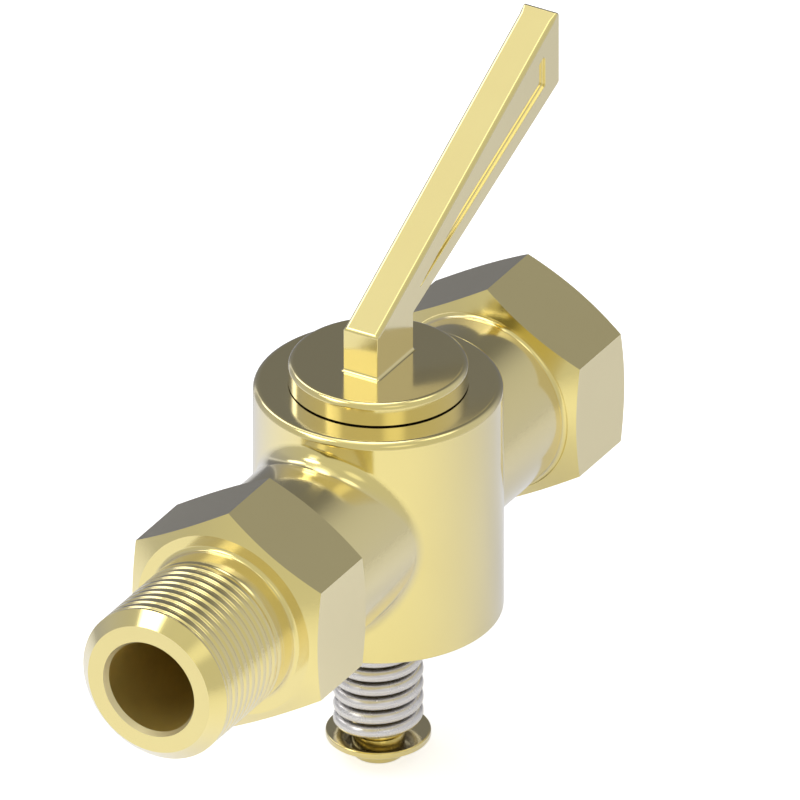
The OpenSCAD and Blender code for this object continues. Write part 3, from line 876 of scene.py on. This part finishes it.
# %% Floor
FLOOR_GAP, FLOOR_FAR = 0.02, 4.0
FLOOR_Z = head_end - FLOOR_GAP
NEAR_FLOOR = (0.10, 0.42)
SEEN_GLOW, BASE_GLOW, DULL_PAPER = 0.62, 0.30, 0.8
DIM_ALONG, DIM_BY = (-0.10, 0.12), 0.27
POOLS = [(0.1, 0.1), (0.045, 0.35)]  # how wide a pool of light is, in metres, and how bright

floor_mesh = bpy.data.meshes.new("floor")
corners = [(x * FLOOR_FAR, y * FLOOR_FAR, FLOOR_Z * MM) for x, y in ((-1, -1), (1, -1), (1, 1), (-1, 1))]
floor_mesh.from_pydata(corners, [], [(0, 1, 2, 3)])
floor = bpy.data.objects.new("floor", floor_mesh)
bpy.context.scene.collection.objects.link(floor)
paper = bpy.data.materials.new("white_paper")
tree = new_tree(paper)
seen = tree.node("ShaderNodeLightPath", output="Is Camera Ray")
place = tree.node("ShaderNodeTexCoord", output="Object")
distance = tree.node("ShaderNodeVectorMath", output="Value", settings={"operation": "LENGTH"}, i0=place)
near = 1 - distance.smooth(*NEAR_FLOOR)
along = tree.node("ShaderNodeSeparateXYZ", Vector=place)
reflected = BASE_GLOW - DIM_BY * along.smooth(*DIM_ALONG)
for reach, level in POOLS:
    reflected = reflected + level * (1 - distance.smooth(0.0, reach))
strength = seen * SEEN_GLOW + (1 - seen) * reflected
dull = tree.node("ShaderNodeBsdfDiffuse", Color=(DULL_PAPER, DULL_PAPER, DULL_PAPER, 1))
glow = tree.node("ShaderNodeEmission", Color=(1, 1, 1, 1), Strength=strength)
both = tree.node("ShaderNodeAddShader", i0=dull, i1=glow)
clear = tree.node("ShaderNodeBsdfTransparent")
surface = tree.node("ShaderNodeMixShader", i0=seen + (1 - seen) * near, i1=clear, i2=both)
tree.node("ShaderNodeOutputMaterial", Surface=surface)
floor_mesh.materials.append(paper)
print(f"floor at {FLOOR_Z:.2f} mm")

# %% World light
WALLS = [  # degrees round from +X, and how bright the wall is there
    (-180, 0.66), (-160, 0.68), (-140, 0.64), (-40, 0.62), (-30, 0.56), (-20, 0.42), (-8, 0.24),
    (0, 0.20), (30, 0.19), (55, 0.22), (61, 0.30), (65, 0.85), (70, 0.42), (85, 0.46), (97, 0.54),
    (140, 0.58), (152, 0.62), (165, 0.66), (180, 0.66)]
SPOTS = [  # degrees round, degrees up, radius of the core and of the edge in degrees, brightness
    (91, 80, 8, 30, 1.0), (60, 80, 6, 13, 2.2), (30, 72, 6, 13, 2.8), (-60, 60, 5, 14, 1.7),
    (74, 31, 2, 7, 2.4), (76, 36, 2, 7, 2.6), (79, 41, 3, 8, 2.8), (82, 46, 3, 8, 2.8), (85, 51, 2, 7, 2.6),
    (67, 60, 2, 7, 1.8), (-130, 35, 6, 16, 1.05),
    (127, 48, 4, 10, 4.5), (135, 51, 4, 10, 4.5), (143, 53, 4, 10, 4.5), (146, 36, 2, 8, 3.5),
    (151, 27, 4, 12, 1.15)]
BLUE = 1.03
print(len(WALLS), "points round the walls and", len(SPOTS), "soft spots light the valve")


# %% Sky
def spot(light, way, degrees, rise, core, edge, level):
    """Mixes a soft round lamp into the light that comes from each way."""
    flat = math.cos(math.radians(rise))
    unit = (flat * math.cos(math.radians(degrees)), flat * math.sin(math.radians(degrees)),
            math.sin(math.radians(rise)))
    facing_it = way.node("ShaderNodeVectorMath", output="Value", settings={"operation": "DOT_PRODUCT"},
                         i0=way, i1=unit)
    share = facing_it.smooth(math.cos(math.radians(edge)), math.cos(math.radians(core)))
    return share.mix(light, (level, level, level))


world = bpy.data.worlds.new("studio")
bpy.context.scene.world = world
tree = new_tree(world)
way = tree.node("ShaderNodeTexCoord", output="Generated")
parts = [tree.node("ShaderNodeSeparateXYZ", output=k, Vector=way) for k in range(2)]
round_about = way.maths("ARCTAN2", parts[1], parts[0]) / (2 * math.pi) + 0.5
ramp = tree.tree.nodes.new("ShaderNodeValToRGB")
while len(ramp.color_ramp.elements) < len(WALLS):
    ramp.color_ramp.elements.new(1.0)
for element, (degrees, level) in zip(ramp.color_ramp.elements, WALLS):
    element.position = degrees / 360 + 0.5
    element.color = (level, level, level * BLUE, 1)
tree.tree.links.new(round_about.socket, ramp.inputs[0])
light = Wire(tree.tree, ramp.outputs[0])
for lamp in SPOTS:
    light = spot(light, way, *lamp)
sky = tree.node("ShaderNodeBackground", Color=light, Strength=1.0)
white = tree.node("ShaderNodeBackground", Color=(1, 1, 1, 1), Strength=1.0)
paths = [tree.node("ShaderNodeLightPath", output=f"Is {name} Ray") for name in ("Camera", "Transmission")]
through = tree.node("ShaderNodeMixShader", i0=paths[0] + paths[1], i1=sky, i2=white)
tree.node("ShaderNodeOutputWorld", Surface=through)
bpy.context.scene.view_settings.view_transform = "Standard"
print("the sky has", len(tree.tree.nodes), "nodes")
